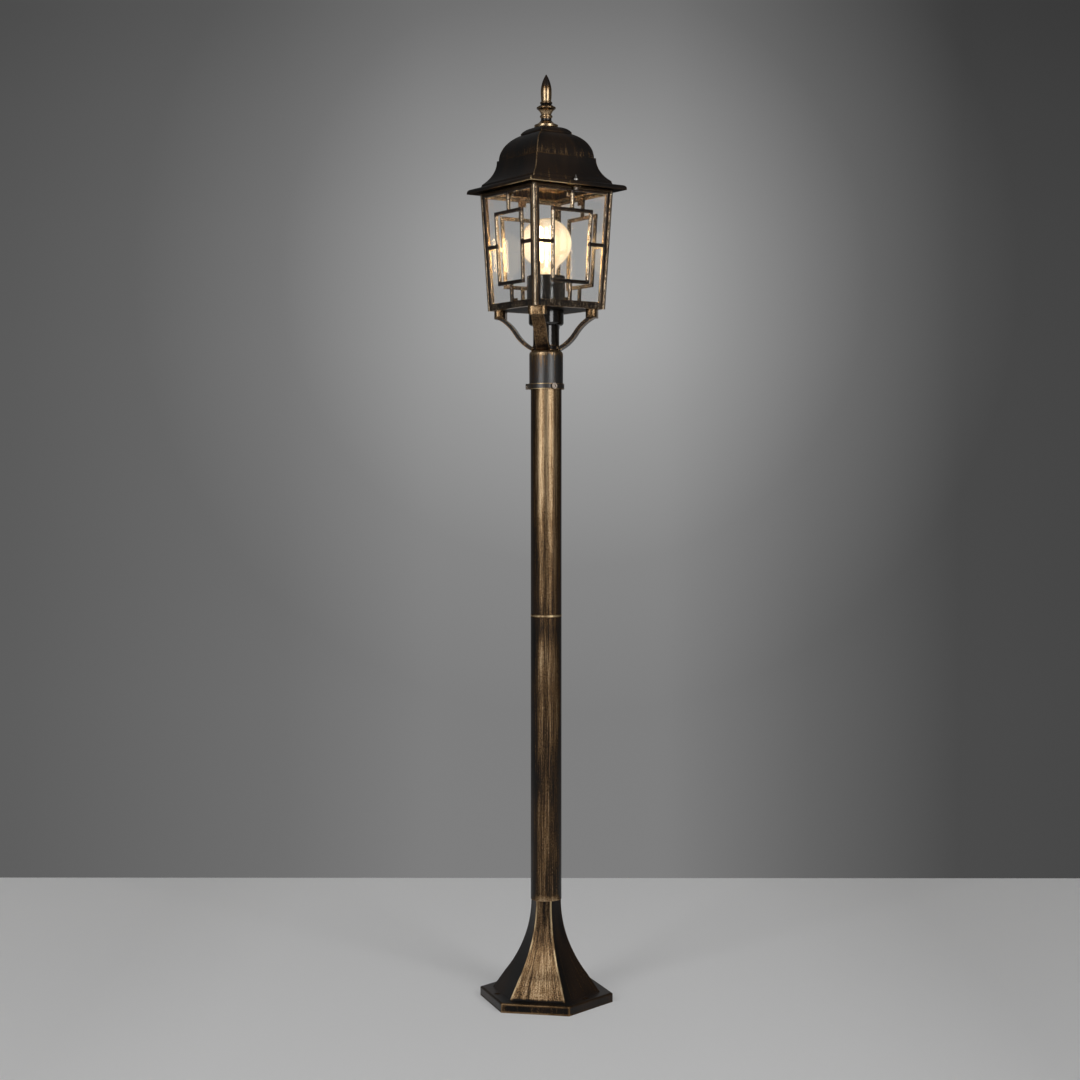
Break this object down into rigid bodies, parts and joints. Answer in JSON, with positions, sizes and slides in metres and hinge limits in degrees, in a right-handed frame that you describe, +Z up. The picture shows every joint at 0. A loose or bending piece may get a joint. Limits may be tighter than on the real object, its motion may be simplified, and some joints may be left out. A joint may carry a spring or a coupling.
{
  "type": "post lantern",
  "caption": "Tall garden post lantern: flared hexagonal base, round post, tapering glazed lantern on curved arms, domed lift-off roof with finial, screw-in lit bulb.",
  "frame": {"origin": "middle of the base's underside, on the post's axis", "axes": "+Z up along the post, -Y through the lantern's front panel, which has a cap nut over it"},
  "size_m": [0.1698, 0.1698, 1.1993],
  "materials": {
    "cast_bronze_finish": "black paint rubbed through to gold at edges and in streaks, satin",
    "rubbed_gold": "rubbed gold, satin",
    "window_glass": "clear",
    "bulb_glass": "clear",
    "filament": "lit filament",
    "black_gloss": "gloss black",
    "ceramic": "unglazed",
    "brass": "plain",
    "plated_steel": "plated",
    "cap_metal": "plated",
    "lead_sheath": "matt black",
    "rubber": "matt black",
    "terminal_plastic": "matt"
  },
  "bodies": {
    "post": {"base_casting": "cast_bronze_finish", "terminal_bracket": "plated_steel", "bracket_screws": "plated_steel", "terminal_block": "terminal_plastic", "terminal_screws": "brass", "inner_lead": "lead_sheath", "lead_grommet": "rubber", "lower_post_tube": "cast_bronze_finish", "upper_post_tube": "cast_bronze_finish", "post_coupler": "rubbed_gold"},
    "head": {"collar": "cast_bronze_finish", "collar_set_screws": "plated_steel", "arm_spider": "cast_bronze_finish", "arm_foot_screws": "plated_steel", "threaded_pipe": "plated_steel", "pipe_nuts": "plated_steel", "spacer_tube": "cast_bronze_finish", "floor_cup": "cast_bronze_finish", "lantern_floor": "cast_bronze_finish", "side_panel_front": "cast_bronze_finish", "side_panel_right": "cast_bronze_finish", "side_panel_back": "cast_bronze_finish", "side_panel_left": "cast_bronze_finish", "glass_pane_front": "window_glass", "glass_pane_right": "window_glass", "glass_pane_back": "window_glass", "glass_pane_left": "window_glass", "glass_clips": "cast_bronze_finish", "top_frame": "cast_bronze_finish", "roof_studs": "plated_steel", "lampholder_shell": "black_gloss", "lampholder_insert": "ceramic", "lampholder_screw_shell": "brass", "lampholder_contact": "brass"},
    "roof": {"roof_shell": "cast_bronze_finish", "finial": "cast_bronze_finish", "finial_stud": "plated_steel", "finial_washer": "plated_steel", "finial_nut": "plated_steel"},
    "front_nut": {"roof_nut_front": "plated_steel"},
    "back_nut": {"roof_nut_back": "plated_steel"},
    "bulb": {"bulb_cap": "cap_metal", "bulb_glass": "bulb_glass", "bulb_stem": "bulb_glass", "bulb_filaments": "filament"}
  },
  "joints": [
    {"name": "head_swivel", "type": "hinge", "parent": "post", "child": "head", "pos_m": [0, 0, 0.8], "axis": [0, 0, 1], "range_deg": [-180, 180]},
    {"name": "roof_lift", "type": "slide", "parent": "head", "child": "roof", "axis": [0, 0, 1], "range_m": [0, 0.2]},
    {"name": "front_nut_turn", "type": "hinge", "parent": "roof", "child": "front_nut", "pos_m": [0, -0.0662, 1.0548], "axis": [0, 0, 1], "continuous": true},
    {"name": "back_nut_turn", "type": "hinge", "parent": "roof", "child": "back_nut", "pos_m": [0, 0.0662, 1.0548], "axis": [0, 0, 1], "continuous": true},
    {"name": "bulb_turn", "type": "hinge", "parent": "head", "child": "bulb", "pos_m": [0, 0, 0.933], "axis": [0, 0, 1], "range_deg": [0, 1080]}
  ]
}
